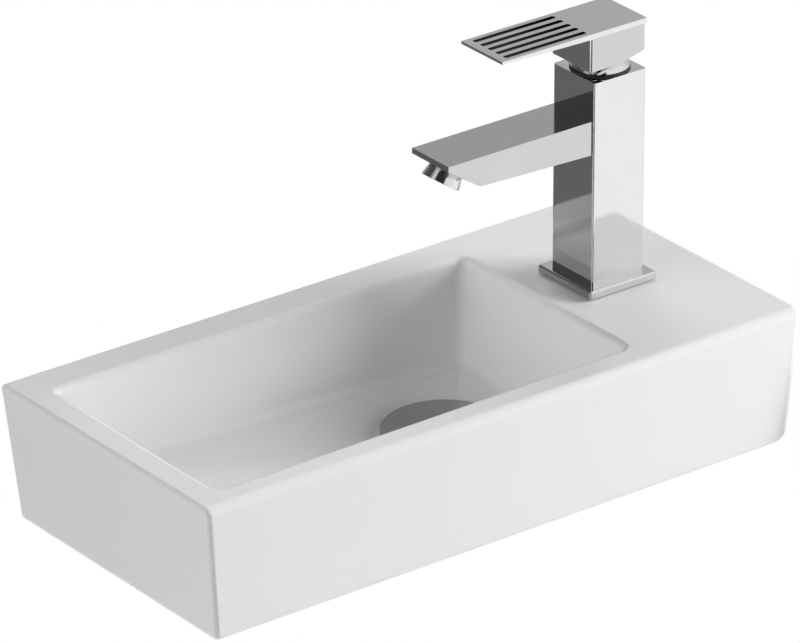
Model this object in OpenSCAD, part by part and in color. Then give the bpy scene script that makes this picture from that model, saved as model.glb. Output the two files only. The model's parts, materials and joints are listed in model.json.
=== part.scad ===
// Small wall-hung washbasin with a square single lever mixer and a click plug.
// Millimetres. X runs along the wall to the right, Y into the wall, Z up.
// The origin is on the wall face, midway between the two wall bolt holes.

/* [Basin] */
// Width of the basin along the wall
basin_w = 370; // [350:1:400]
// Depth from the wall to the front edge
basin_d = 172; // [166:1:190]
// Height from the lower edge to the deck
basin_h = 78.5; // [76:0.5:90]
// How far the left end leans in at the bottom
end_lean = 10.6; // [4:0.2:14]
// How far the front leans back at the bottom
front_lean = 8.5; // [4:0.5:12]
// Thickness of the ceramic walls
wall_t = 8; // [7:0.5:9]
// Thickness of the back wall
back_t = 9; // [8:0.5:10]
// Thickness of the deck under the mixer
deck_t = 12; // [10:0.5:14]
// Height of the hollow under the bowl, above the lower edge
hollow_h = 36; // [34:0.5:38]
// Rounding of the top edge at the left end
edge_r_left = 3.5; // [2:0.5:6]
// Rounding of the top edge at the right end
edge_r_right = 7.5; // [4:0.5:9]
// Rounding of the lower edges
edge_r_low = 4; // [2:0.5:5]
// Rounding of the edges at the wall
edge_r_back = 2; // [1:0.5:3]

/* [Bowl] */
// Width of the left rim
rim_left = 20; // [18:0.5:22]
// Width of the front rim
rim_front = 21.5; // [20:0.5:24]
// Width of the rim at the wall
rim_back = 22; // [21:0.5:25]
// Length of the bowl along the wall
bowl_w = 251; // [245:0.5:252]
// How far the bowl walls lean in on their way down
bowl_lean = 4.6; // [2:0.2:6]
// Rounding of the bowl's upright corners
bowl_corner_r = 5; // [3:0.5:8]
// Rounding between the bowl's walls and floor
floor_r = 6; // [4:0.5:8]
// Rounding of the bowl's rim
rim_r = 4; // [2:0.5:5]
// Depth of the floor at the left end
depth_left = 45.5; // [44:0.5:50]
// Depth of the floor in the right corners
depth_right = 57; // [54:0.5:60]
// Depth of the floor at the waste
depth_waste = 64.5; // [62:0.5:65]

/* [Wall bolts] */
// Distance between the two wall bolt holes
bolt_gap = 280; // [260:5:290]
// Radius of the wall bolt holes
bolt_hole_r = 6; // [5:0.25:7]
// Height of the wall bolt holes above the lower edge
bolt_h = 22; // [20:0.5:24]

/* [Mixer] */
// Distance from the bowl's right wall to the mixer's axis
tap_from_bowl = 39.7; // [36:0.1:46]
// Distance from the wall to the mixer's axis
tap_from_wall = 81.3; // [70:0.5:95]
// Radius of the tap hole in the deck
tap_hole_r = 17.5; // [17:0.25:18]
// Side of the square base plate
plate_side = 43; // [42:0.5:48]
// Thickness of the base plate
plate_t = 4.2; // [3:0.2:6]
// Thickness of the gasket under the base plate
gasket_t = 0.6; // [0.5:0.1:1]
// Side of the square column
col_side = 33; // [33:0.5:36]
// Height of the column's top above the deck
col_h = 116.6; // [112:0.2:124]
// Rounding of the column's upright edges
col_r = 1.2; // [0.8:0.1:1.6]
// Radius of the spigot under the column
spigot_r = 15.4; // [15:0.1:15.6]
// How far the spigot reaches below the deck
spigot_drop = 3; // [2:0.5:4]

/* [Spout] */
// Reach from the mixer's axis to the spout's tip
spout_reach = 107; // [95:1:120]
// Width of the spout
spout_w = 29.7; // [28:0.1:31]
// Distance from the column's top down to the spout's flat top
spout_drop = 21.1; // [19.6:0.1:21.6]
// Height of the spout's end at the column
spout_root = 18.5; // [18:0.5:20]
// How much less high the spout is at its knee
spout_rise = 2.6; // [1:0.2:3]
// Length of the slanted underside behind the tip
nose_len = 20; // [19:0.5:24]
// Height of the spout's blunt tip
tip_t = 3; // [2.5:0.1:4]
// Wall of the spout
spout_wall = 2.6; // [2:0.1:3]
// Radius of the aerator at its mouth
aerator_r = 10.3; // [9.5:0.1:10.5]
// Radius of the aerator at the spout
aerator_neck_r = 8.8; // [8.6:0.1:9.2]
// Length of the aerator that shows
aerator_len = 6.6; // [5:0.2:8]

/* [Handle] */
// Height of the lever's top above the column
handle_h = 27.4; // [26.4:0.1:33.4]
// Thickness of the lever plate at the block
lever_t = 2.9; // [2.6:0.1:3.6]
// Thickness of the lever plate at its tip
lever_tip_t = 1.5; // [1.2:0.1:2.4]
// Reach of the lever from the mixer's axis
lever_reach = 75; // [68:1:90]
// Reach of the handle block in front of the axis
block_front = 18.5; // [17.5:0.5:20]
// Gap between the column's top and the handle block
handle_gap = 6.4; // [6:0.2:7]
// Rise of the block's slanted underside at the back
block_rise = 4.1; // [3.5:0.1:6]
// Wall of the hollow handle block
block_wall = 2.3; // [2:0.1:3]
// How far the block's sides lie in from the lever's edges
block_inset = 0.4; // [0:0.1:0.6]
// Rounding of the handle block's upright edges
block_r = 2.2; // [1:0.1:3]
// Number of slots in the lever
slot_n = 5; // [3:1:5]
// Distance from one slot to the next
slot_pitch = 6.1; // [5.5:0.1:6.3]
// Width of one slot
slot_w = 3; // [2:0.1:3.4]
// Length of the slots
slot_len = 51; // [40:0.5:52]
// Distance from the lever's tip to the slots
slot_from_tip = 4.5; // [4:0.5:6]
// How far the lever lifts, in degrees
lift_max = 22; // [15:1:22]

/* [Cartridge] */
// Radius of the cartridge
cart_r = 12.4; // [12.2:0.1:12.5]
// Height of the pivot above the deck, counted down from the column's top
pivot_drop = 8.6; // [8.4:0.1:9]
// Distance from the pivot to the stem's ball
stem_arm = 8; // [7.8:0.1:8.2]
// Side of the square stem
stem_side = 7; // [6.6:0.1:7]
// Radius of the stem's ball
ball_r = 2.6; // [2.4:0.1:2.7]
// Radius of the pivot pin
pivot_r = 1.25; // [1:0.05:1.4]
// Thickness of one ceramic disc
disc_t = 3; // [2.8:0.1:3.2]
// Radius of the fixed ceramic disc
disc_r = 11; // [10.8:0.1:11.1]
// Radius of the moving ceramic disc
slider_r = 9; // [8.8:0.1:9.1]
// Radius of the dome over the cartridge
dome_r = 18.2; // [18:0.1:18.4]
// Thickness of the dome
dome_t = 1.2; // [1:0.1:1.4]
// Radius of the inlet ports in the discs
port_in_r = 2; // [1.8:0.1:2.1]
// Radius of the outlet port in the discs
port_out_r = 3; // [2.6:0.1:3.1]

/* [Mixer fixing] */
// Wall radius of the threaded hose inlets
inlet_r = 4.46; // [4.4:0.01:4.5]
// Depth of the threaded hose inlets
inlet_len = 12; // [10:0.5:14]
// Distance of each hose inlet from the middle
inlet_y = 7.4; // [7:0.1:7.8]
// Radius of the mounting stud
stud_r = 4; // [3.5:0.1:4]
// Length of the mounting stud below the deck
stud_drop = 50; // [44:1:55]
// Distance of the stud behind the mixer's axis
stud_x = 9.5; // [9.4:0.1:9.8]
// Outer radius of the crescent washers
crescent_r = 21.5; // [21:0.1:22]
// Thickness of the rubber crescent
crescent_rubber_t = 3; // [2:0.5:4]
// Thickness of the steel crescent
crescent_steel_t = 2; // [1.5:0.1:3]
// Width of the stud nut across its flats
stud_nut_af = 13; // [12:0.5:14]
// Height of the stud nut
stud_nut_h = 6.5; // [5:0.5:12]

/* [Waste] */
// Distance from the basin's left end to the waste
waste_from_left = 217; // [212:0.5:218]
// Distance from the wall to the waste
waste_from_wall = 77; // [72:0.5:82]
// Radius of the waste hole in the ceramic
waste_hole_r = 22.5; // [22:0.1:23]
// Outer radius of the threaded tail
tail_r = 20.95; // [20.9:0.01:21]
// Inner radius of the tail
tail_bore_r = 18.4; // [18:0.1:18.6]
// Length of the tail below the ceramic seat
tail_drop = 50; // [48:1:70]
// Radius of the flange in the bowl
flange_r = 31.5; // [31:0.1:31.6]
// Thickness of the flange
flange_t = 2.2; // [2:0.1:2.5]
// Thickness of the seal under the flange
top_seal_t = 1.2; // [1:0.1:1.5]
// Radius of the plug cap
cap_r = 33.3; // [33:0.1:34]
// Thickness of the plug cap
cap_t = 3; // [2.5:0.1:4]
// Travel of the plug
plug_travel = 7; // [5:0.5:7]
// Thickness of the lower seal
low_seal_t = 4; // [3:0.5:5]
// Thickness of the slip washer
slip_t = 1.5; // [1:0.1:2]
// Width of the back nut across its flats
back_nut_af = 52; // [50:1:54]
// Height of the back nut
back_nut_h = 8; // [6:0.5:9]
// Radius of the plug spring's wire
wire_r = 0.45; // [0.3:0.05:0.5]
// Turns of the plug spring
spring_turns = 5; // [3:1:6]

/* [Hidden] */

// Overshoot of a cut past the face it opens
cut = 1;
// Clearance of a close fixed fit, on the radius
fit = 0.05;
// Clearance of a running fit, on the radius
run = 0.08;
// Clearance between pieces that move past each other
free = 0.3;
// Facets of a round that stays a true curve
round_fn = 64;
// Facets of a round inside a hull
hull_fn = 32;
// Chords in each corner of a lofted outline
corner_steps = 8;

// Basin levels and places
low_z = -bolt_h;
deck_z = basin_h - bolt_h;
left_x = -basin_w / 2;
right_x = basin_w / 2;
front_y = -basin_d;
bowl_x0 = left_x + rim_left;
bowl_x1 = bowl_x0 + bowl_w;
bowl_y0 = front_y + rim_front;
bowl_y1 = -rim_back;
waste_x = left_x + waste_from_left;
waste_y = -waste_from_wall;
waste_floor_z = deck_z - depth_waste;
recess_t = 2;
recess_r = flange_r + 1.1;
seat_z = waste_floor_z - recess_t;
floor_flat_r = recess_r + 2.4;
hollow_r = 6;
washer_room = crescent_rubber_t + crescent_steel_t + free;

// Mixer levels above the deck
tap_x = bowl_x1 + tap_from_bowl;
tap_y = -tap_from_wall;
plate_z = gasket_t;
col_z = gasket_t + plate_t;
pivot_z = col_h - pivot_drop;
ball_z = pivot_z - stem_arm;
spout_top = col_h - spout_drop;
handle_top = col_h + handle_h;
block_z = col_h + handle_gap;
lever_z = handle_top - lever_t;

// Cartridge stack, counted down from the ball
disc_gap = 0.05;
carrier_t = 3.5;
slider_z1 = ball_z - ball_r - free - 0.1;
slider_z = slider_z1 - disc_t;
disc_z = slider_z - disc_gap - disc_t;
cart_base_t = 3.7;
cart_base_z = disc_z - cart_base_t;
seal_proud = 0.3;
seal_h = 1.4;
chamber_z = cart_base_z - seal_proud;
chamber_r = cart_r + 0.25;
cart_wall = 1.1;
guide_flange_z = slider_z1 + carrier_t + free;
guide_flange_t = 2.4;
shoulder_z = guide_flange_z + guide_flange_t + free;
shoulder_t = 1.5;
guide_r = 7.6;
guide_top = pivot_z + 4.4;
neck_r = guide_r + run + 1.8;
nut_z = shoulder_z + shoulder_t;
nut_r = 13.95;
nut_h = 5.6;
thread_r = nut_r + fit;
dome_skirt_r = nut_r - fit;
ring_t = 0.8;
dome_z = col_h + ring_t;
dome_hole_r = norm([dome_r * sin(lift_max + asin(stem_side / 2 / dome_r)), stem_side / 2]) + free;
dome_foot_r = sqrt(pow(dome_r, 2) - pow(dome_z - pivot_z, 2));
slider_off = 1.5;
port_in = [-3, 5];
port_out = [6.5, 0];
pocket_edge = -0.5;
gallery_z = spout_top - spout_root + spout_wall;
gallery_w = 6;
floor_t = 2.6;
gallery_h = chamber_z - floor_t - gallery_z;
inlet_x = -3;
passage_r = 2.4;
passage_y = 6.2;
stem_top = lever_z - 2.4;
boss_r = 6.8;
boss_z = pivot_z + dome_r + 0.6;
screw_z = boss_z + 6;
screw_r = 2.1;
plug_hole_r = 3;

// Spout lines
knee_x = -spout_reach + nose_len;
knee_z = spout_top - spout_root + spout_rise;
nose_z = spout_top - tip_t;
nose_a = atan2(nose_z - knee_z, nose_len);
nose_mid = [(-spout_reach + knee_x) / 2, (nose_z + knee_z) / 2];
tenon_len = 3;
aerator_bore_r = 8.2;
aerator_seat = 4.4;
aerator_lip = 1.6;
insert_r = 6;
insert_flange_r = 6.6;
insert_hole_r = 0.7;
insert_hole_turn_r = 3.6;
washer_t = 1;
mouth_wall = 1.2;

// Waste levels, counted from the ceramic seat
flange_z = top_seal_t;
flange_top = top_seal_t + flange_t;
cap_seal_t = 0.8;
cap_z = flange_top + disc_gap + cap_seal_t;
under_z = recess_t - wall_t;
slip_z = under_z - low_seal_t - slip_t;
back_nut_z = slip_z - back_nut_h;
hub_r = 6.5;
hub_t = 4;
hub_z = -36;
housing_r = 6.2;
housing_z = hub_z + hub_t;
housing_top = -6;
housing_floor = housing_z + 1.5;
plug_stem_r = 4.5;
plug_stem_z = -19;
plug_pin_len = 5;
boss_low = -3;
spring_r = 3.6;
plug_seal_out = tail_bore_r + 5.6;
plug_seal_in = tail_bore_r - 4.4;

// Groove that parts the trap's thread from the back nut's
groove_h = 1.5;
groove_t = 0.5;
groove_z = back_nut_z - free - 0.2 - groove_h;

// Square of a given side with rounded corners, made of true arcs
module rounded_square(x, y, r) {
    square([x - 2 * r, y], center = true);
    square([x, y - 2 * r], center = true);
    for (sx = [-1, 1], sy = [-1, 1])
        translate([sx * (x / 2 - r), sy * (y / 2 - r)])
            circle(r = r, $fn = round_fn);
}

// Ring or tube standing on z
module ring(r_out, r_in, h, z = 0) {
    translate([0, 0, z])
        difference() {
            cylinder(r = r_out, h = h, $fn = round_fn);
            translate([0, 0, -cut])
                cylinder(r = r_in, h = h + 2 * cut, $fn = round_fn);
        }
}

// Hexagon nut with a round bore
module hex_nut(af, r_in, h, z) {
    translate([0, 0, z])
        difference() {
            cylinder(r = af / sqrt(3), h = h, $fn = 6);
            translate([0, 0, -cut])
                cylinder(r = r_in, h = h + 2 * cut, $fn = round_fn);
        }
}

module at_tap() {
    translate([tap_x, tap_y, deck_z])
        children();
}

module at_waste() {
    translate([waste_x, waste_y, seat_z])
        children();
}

module ball(p, r) {
    translate(p)
        sphere(r = r, $fn = hull_fn);
}

// Outer block of the basin: a hull of balls, one size for each corner
module basin_block() {
    hull() {
        for (end = [0, 1]) {
            r = end == 0 ? edge_r_left : edge_r_right;
            x_top = end == 0 ? left_x + r : right_x - r;
            x_low = end == 0 ? left_x + end_lean + edge_r_low : right_x - edge_r_low;
            x_back = end == 0 ? left_x + edge_r_back : right_x - edge_r_back;
            x_back_low = end == 0 ? left_x + end_lean + edge_r_back : right_x - edge_r_back;
            ball([x_top, front_y + r, deck_z - r], r);
            ball([x_low, front_y + front_lean + edge_r_low, low_z + edge_r_low], edge_r_low);
            translate([x_back, 0, deck_z - edge_r_back])
                rotate([90, 0, 0])
                    cylinder(r = edge_r_back, h = cut, $fn = hull_fn);
            translate([x_back_low, 0, low_z + edge_r_back])
                rotate([90, 0, 0])
                    cylinder(r = edge_r_back, h = cut, $fn = hull_fn);
        }
    }
}

// Space of the bowl below its rim, or of its shell when grown
module bowl_space(grow) {
    x0 = bowl_x0 - grow;
    x1 = bowl_x1 + grow;
    y0 = bowl_y0 - grow;
    y1 = bowl_y1 + grow;
    corner = bowl_corner_r + grow;
    r = floor_r + grow;
    top_z = deck_z - rim_r;
    hull() {
        translate([(x0 + x1) / 2, (y0 + y1) / 2, top_z])
            linear_extrude(cut)
                rounded_square(x1 - x0, y1 - y0, corner);
        for (y = [y0 + bowl_lean + r, y1 - bowl_lean - r]) {
            ball([x0 + bowl_lean + r, y, deck_z - depth_left + floor_r], r);
            ball([x1 - bowl_lean - r, y, deck_z - depth_right + floor_r], r);
        }
        ball([x1 - bowl_lean - r, waste_y, waste_floor_z + floor_r], r);
        translate([waste_x, waste_y, waste_floor_z - grow])
            cylinder(r = floor_flat_r, h = cut, $fn = round_fn);
    }
}

// Outline of a rounded rectangle at one level, as a closed ring of points
function outline(x, y, r, z) = [
    for (q = [0 : 3], i = [0 : corner_steps])
        let (a = 90 * (q + i / corner_steps), sx = q == 0 || q == 3 ? 1 : -1, sy = q < 2 ? 1 : -1)
            [sx * (x / 2 - r) + r * cos(a), sy * (y / 2 - r) + r * sin(a), z]
];

// Loft through rings of points that all have the same count
module loft(rings) {
    n = len(rings[0]);
    last = (len(rings) - 1) * n;
    polyhedron(
        points = [for (ring = rings) for (p = ring) p],
        faces = concat(
            [[for (i = [0 : n - 1]) i]],
            [for (k = [0 : len(rings) - 2], i = [0 : n - 1])
                [k * n + i, (k + 1) * n + i, (k + 1) * n + (i + 1) % n, k * n + (i + 1) % n]],
            [[for (i = [n - 1 : -1 : 0]) last + i]]));
}

// Flare of the bowl's rim: a loft along a quarter round, from inside the bowl to above the deck
module rim_flare() {
    steps = 5;
    w = bowl_w;
    d = bowl_y1 - bowl_y0;
    profile = concat([[-cut / 2, -cut]],
        [for (i = [1 : steps]) [rim_r * (1 - cos(90 * i / steps)), rim_r * sin(90 * i / steps)]],
        [[rim_r, rim_r + cut]]);
    translate([(bowl_x0 + bowl_x1) / 2, (bowl_y0 + bowl_y1) / 2, deck_z - rim_r])
        loft([for (p = profile) outline(w + 2 * p[0], d + 2 * p[0], bowl_corner_r + p[0], p[1])]);
}

// Hollow under the basin, from its open bottom up to a given level
module hollow(x0_low, x0_top, level) {
    r = hollow_r;
    lean = front_lean * (deck_z - level) / basin_h;
    y_front = front_y + lean + wall_t + r;
    hull() {
        translate([x0_low, front_y + front_lean + wall_t, low_z - cut])
            cube([right_x - wall_t - x0_low, basin_d - front_lean - wall_t - back_t, cut / 2]);
        for (x = [x0_top + r, right_x - wall_t - r], y = [y_front, -back_t - r])
            ball([x, y, level - r], r);
        translate([x0_top + r, y_front, level - r])
            cube([right_x - wall_t - x0_top - 2 * r, -back_t - r - y_front, r]);
    }
}

module basin() {
    color("white")
        difference() {
            basin_block();
            bowl_space(0);
            rim_flare();
            difference() {
                union() {
                    hollow(left_x + end_lean + wall_t, left_x + end_lean * (1 - hollow_h / basin_h) + wall_t,
                        low_z + hollow_h);
                    hollow(bowl_x1 + wall_t, bowl_x1 + wall_t, deck_z - deck_t);
                }
                bowl_space(wall_t);
            }
            at_tap() {
                translate([0, 0, -deck_t - cut])
                    cylinder(r = tap_hole_r, h = deck_t + 2 * cut, $fn = round_fn);
                // Room for the crescent washers, whatever wall comes near them
                translate([0, 0, -deck_t - washer_room])
                    cylinder(r = crescent_r + free, h = washer_room, $fn = round_fn);
            }
            at_waste() {
                cylinder(r = recess_r, h = recess_t + floor_r, $fn = round_fn);
                translate([0, 0, -wall_t])
                    cylinder(r = waste_hole_r, h = wall_t + cut, $fn = round_fn);
            }
            for (side = [-1, 1])
                translate([side * bolt_gap / 2, cut, 0])
                    rotate([90, 0, 0])
                        cylinder(r = bolt_hole_r, h = back_t + 2 * cut, $fn = round_fn);
        }
}

module base_gasket() {
    inset = 1;
    color("dimgray")
        at_tap()
            difference() {
                linear_extrude(gasket_t)
                    rounded_square(plate_side - 2 * inset, plate_side - 2 * inset, col_r);
                translate([0, 0, -cut])
                    cylinder(r = tap_hole_r, h = gasket_t + 2 * cut, $fn = round_fn);
            }
}

module base_plate() {
    chamfer = 0.7;
    color("silver")
        at_tap()
            difference() {
                union() {
                    translate([0, 0, plate_z])
                        linear_extrude(plate_t - chamfer)
                            rounded_square(plate_side, plate_side, col_r);
                    translate([0, 0, col_z - chamfer])
                        linear_extrude(chamfer, scale = (plate_side - 2 * chamfer) / plate_side)
                            rounded_square(plate_side, plate_side, col_r);
                }
                translate([0, 0, -cut])
                    cylinder(r = spigot_r + fit, h = col_z + 2 * cut, $fn = round_fn);
            }
}

module tap_column() {
    inlet_top = inlet_len - spigot_drop;
    color("silver")
        at_tap()
            difference() {
                union() {
                    translate([0, 0, col_z])
                        linear_extrude(col_h - col_z)
                            rounded_square(col_side, col_side, col_r);
                    translate([0, 0, -spigot_drop])
                        cylinder(r = spigot_r, h = spigot_drop + col_z, $fn = round_fn);
                }
                translate([0, 0, chamber_z])
                    cylinder(r = chamber_r, h = col_h, $fn = round_fn);
                translate([0, 0, nut_z - cut])
                    cylinder(r = thread_r, h = col_h, $fn = round_fn);
                // Two inlets: a threaded mouth, a rising passage and a port in the chamber floor
                for (side = [-1, 1]) {
                    translate([inlet_x, side * inlet_y, -spigot_drop - cut])
                        cylinder(r = inlet_r, h = inlet_len + cut, $fn = round_fn);
                    translate([inlet_x, side * passage_y, inlet_top - cut])
                        cylinder(r = passage_r, h = chamber_z - floor_t / 2 - inlet_top + cut, $fn = round_fn);
                    translate([port_in.x, side * port_in.y, chamber_z - floor_t])
                        cylinder(r = port_in_r, h = floor_t + cut, $fn = round_fn);
                }
                // Outlet: a port in the chamber floor and a gallery to the spout
                translate([port_out.x, port_out.y, gallery_z])
                    cylinder(r = port_out_r, h = chamber_z, $fn = round_fn);
                translate([-col_side / 2 - cut, -gallery_w / 2, gallery_z])
                    cube([col_side / 2 + cut + port_out.x, gallery_w, gallery_h]);
                translate([-col_side / 2 - cut, -spout_w / 2 + spout_wall, gallery_z - fit])
                    cube([tenon_len + cut + fit, spout_w - 2 * spout_wall, gallery_h + 2 * fit]);
                translate([stud_x, 0, -spigot_drop - cut])
                    cylinder(r = stud_r + fit, h = inlet_len + cut, $fn = round_fn);
            }
}

// Side outline of the spout, or of its waterway when drawn in
module spout_side(inset) {
    root_x = -col_side / 2;
    polygon([
        [root_x + (inset > 0 ? cut : 0), spout_top - inset],
        [-spout_reach + inset * 4, spout_top - inset],
        [-spout_reach + inset * 4, nose_z + (inset > 0 ? tip_t - inset - 0.2 : 0)],
        [knee_x + inset / 2, knee_z + inset],
        [root_x + (inset > 0 ? cut : 0), spout_top - spout_root + inset]
    ]);
}

module at_nose() {
    translate([nose_mid.x, 0, nose_mid.y])
        rotate([0, 180 + nose_a, 0])
            children();
}

module spout() {
    root_x = -col_side / 2;
    inner_w = spout_w - 2 * spout_wall;
    color("silver")
        at_tap()
            difference() {
                union() {
                    rotate([90, 0, 0])
                        linear_extrude(spout_w, center = true)
                            spout_side(0);
                    // Tenon that enters the column
                    translate([root_x - cut, -inner_w / 2 + fit, gallery_z])
                        cube([tenon_len + cut, inner_w - 2 * fit, gallery_h]);
                }
                rotate([90, 0, 0])
                    linear_extrude(inner_w - 2 * spout_wall, center = true)
                        intersection() {
                            spout_side(spout_wall);
                            translate([-spout_reach, gallery_z])
                                square([spout_reach + root_x - cut, spout_root]);
                        }
                translate([root_x - 2 * cut, -gallery_w / 2, gallery_z + 0.6])
                    cube([tenon_len + 3 * cut, gallery_w, gallery_h - 1.2]);
                at_nose()
                    translate([0, 0, -aerator_seat])
                        cylinder(r = aerator_bore_r, h = aerator_seat + cut, $fn = round_fn);
            }
}

module aerator_washer() {
    color("dimgray")
        at_tap()
            at_nose()
                ring(aerator_bore_r - fit, insert_r + 0.2, washer_t, -aerator_seat);
}

module aerator_insert() {
    color("white")
        at_tap()
            at_nose()
                difference() {
                    union() {
                        translate([0, 0, -aerator_seat + washer_t])
                            cylinder(r = insert_flange_r, h = washer_t, $fn = round_fn);
                        translate([0, 0, -aerator_seat + 2 * washer_t])
                            cylinder(r = insert_r, h = aerator_seat + aerator_len - 4 * washer_t, $fn = round_fn);
                    }
                    for (turn = [0 : 60 : 300])
                        rotate([0, 0, turn])
                            translate([insert_hole_turn_r, 0, -aerator_seat])
                                cylinder(r = insert_hole_r, h = aerator_seat + aerator_len, $fn = 16);
                }
}

module aerator_housing() {
    color("silver")
        at_tap()
            at_nose()
                difference() {
                    union() {
                        cylinder(r1 = aerator_neck_r, r2 = aerator_r, h = aerator_len, $fn = round_fn);
                        translate([0, 0, -aerator_seat + washer_t])
                            cylinder(r = aerator_bore_r - fit, h = aerator_seat, $fn = round_fn);
                    }
                    translate([0, 0, -aerator_seat])
                        cylinder(r = insert_flange_r + 2 * fit, h = 2 * washer_t + fit, $fn = round_fn);
                    translate([0, 0, -aerator_seat])
                        cylinder(r = insert_r + 2 * fit, h = aerator_seat + aerator_len, $fn = round_fn);
                    translate([0, 0, aerator_len - aerator_lip])
                        cylinder(r = aerator_r - mouth_wall, h = aerator_lip + cut, $fn = round_fn);
                }
}

module port_seals() {
    lip = 1;
    color("dimgray")
        at_tap() {
            for (side = [-1, 1])
                translate([port_in.x, side * port_in.y, 0])
                    ring(port_in_r + lip, port_in_r, seal_h, chamber_z);
            translate([port_out.x, port_out.y, 0])
                ring(port_out_r + lip, port_out_r, seal_h, chamber_z);
        }
}

// The three ports, as holes through a disc, with room for their seals below
module ports(z, h, seals = false) {
    lip = 1 + fit;
    for (side = [-1, 1])
        translate([port_in.x, side * port_in.y, z - cut]) {
            cylinder(r = port_in_r, h = h + 2 * cut, $fn = round_fn);
            if (seals)
                cylinder(r = port_in_r + lip, h = seal_h - seal_proud + cut, $fn = round_fn);
        }
    translate([port_out.x, port_out.y, z - cut]) {
        cylinder(r = port_out_r, h = h + 2 * cut, $fn = round_fn);
        if (seals)
            cylinder(r = port_out_r + lip, h = seal_h - seal_proud + cut, $fn = round_fn);
    }
}

module cartridge_base() {
    color("lightsteelblue")
        at_tap()
            difference() {
                translate([0, 0, cart_base_z])
                    cylinder(r = cart_r, h = cart_base_t, $fn = round_fn);
                ports(cart_base_z, cart_base_t, true);
            }
}

module fixed_disc() {
    color("ivory")
        at_tap()
            difference() {
                translate([0, 0, disc_z])
                    cylinder(r = disc_r, h = disc_t, $fn = round_fn);
                ports(disc_z, disc_t);
            }
}

module moving_disc() {
    rim = 1;
    pocket_t = disc_t / 2;
    color("ivory")
        at_tap()
            difference() {
                translate([slider_off, 0, slider_z])
                    cylinder(r = slider_r, h = disc_t, $fn = round_fn);
                // Pocket that joins inlets and outlet once the disc has slid
                intersection() {
                    translate([slider_off, 0, slider_z - cut])
                        cylinder(r = slider_r - rim, h = pocket_t + cut, $fn = round_fn);
                    translate([pocket_edge, -slider_r, slider_z - cut])
                        cube([2 * slider_r, 2 * slider_r, pocket_t + cut]);
                }
            }
}

module disc_carrier() {
    color("lightsteelblue")
        at_tap()
            difference() {
                translate([slider_off, 0, slider_z1])
                    cylinder(r = slider_r - 0.2, h = carrier_t, $fn = round_fn);
                translate([0, 0, slider_z1 + 0.1])
                    cylinder(r = ball_r + free, h = carrier_t + cut, $fn = round_fn);
            }
}

module stem_guide() {
    slot_x = 12.4;
    slot_y = stem_side + 2 * free;
    color("gainsboro")
        at_tap()
            difference() {
                union() {
                    translate([0, 0, guide_flange_z])
                        cylinder(r = disc_r - 0.2, h = guide_flange_t, $fn = round_fn);
                    translate([0, 0, guide_flange_z])
                        cylinder(r = guide_r, h = guide_top - guide_flange_z, $fn = round_fn);
                }
                translate([-slot_x / 2, -slot_y / 2, guide_flange_z - cut])
                    cube([slot_x, slot_y, guide_top]);
                translate([0, 0, pivot_z])
                    rotate([90, 0, 0])
                        cylinder(r = pivot_r + fit, h = 3 * guide_r, center = true, $fn = round_fn);
            }
}

module pivot_pin() {
    color("gray")
        at_tap()
            translate([0, 0, pivot_z])
                rotate([90, 0, 0])
                    cylinder(r = pivot_r, h = 2 * (guide_r - 0.3), center = true, $fn = round_fn);
}

module cartridge_body() {
    color("gainsboro")
        at_tap()
            difference() {
                union() {
                    translate([0, 0, disc_z])
                        cylinder(r = cart_r, h = nut_z - disc_z, $fn = round_fn);
                    translate([0, 0, nut_z - cut])
                        cylinder(r = neck_r, h = guide_top - 1 - nut_z + cut, $fn = round_fn);
                }
                translate([0, 0, disc_z - cut])
                    cylinder(r = cart_r - cart_wall, h = shoulder_z - disc_z + cut, $fn = round_fn);
                translate([0, 0, disc_z])
                    cylinder(r = guide_r + run, h = col_h, $fn = round_fn);
            }
}

module cartridge_nut() {
    notch = 2.4;
    color("goldenrod")
        at_tap()
            difference() {
                ring(nut_r, neck_r + fit, nut_h, nut_z);
                for (turn = [0, 90])
                    rotate([0, 0, turn])
                        translate([-nut_r - cut, -notch / 2, nut_z + nut_h - 1.2])
                            cube([2 * (nut_r + cut), notch, 1.2 + cut]);
            }
}

module dome_ring() {
    color("black")
        at_tap()
            ring(dome_foot_r - free, thread_r + fit, ring_t, col_h);
}

module dome_cover() {
    skirt_z = nut_z + nut_h;
    color("silver")
        at_tap()
            difference() {
                union() {
                    intersection() {
                        translate([0, 0, pivot_z])
                            sphere(r = dome_r, $fn = round_fn);
                        translate([0, 0, dome_z])
                            cylinder(r = dome_r, h = dome_r, $fn = round_fn);
                    }
                    translate([0, 0, skirt_z])
                        cylinder(r = dome_skirt_r, h = dome_z - skirt_z + cut / 2, $fn = round_fn);
                }
                translate([0, 0, pivot_z])
                    sphere(r = dome_r - dome_t, $fn = round_fn);
                translate([0, 0, skirt_z - cut])
                    cylinder(r = dome_skirt_r - dome_t, h = dome_z - skirt_z + cut, $fn = round_fn);
                translate([0, 0, skirt_z])
                    cylinder(r = dome_hole_r, h = dome_r * 2, $fn = round_fn);
            }
}

module stem() {
    neck = 2;
    square_z = pivot_z - 5;
    color("goldenrod")
        at_tap()
            difference() {
                union() {
                    translate([-stem_side / 2, -stem_side / 2, square_z])
                        cube([stem_side, stem_side, stem_top - square_z]);
                    translate([0, 0, ball_z])
                        cylinder(r = neck, h = square_z - ball_z + cut / 2, $fn = round_fn);
                    translate([0, 0, ball_z])
                        sphere(r = ball_r, $fn = round_fn);
                }
                translate([0, 0, pivot_z])
                    rotate([90, 0, 0])
                        cylinder(r = pivot_r + run, h = 2 * stem_side, center = true, $fn = round_fn);
            }
}

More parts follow.
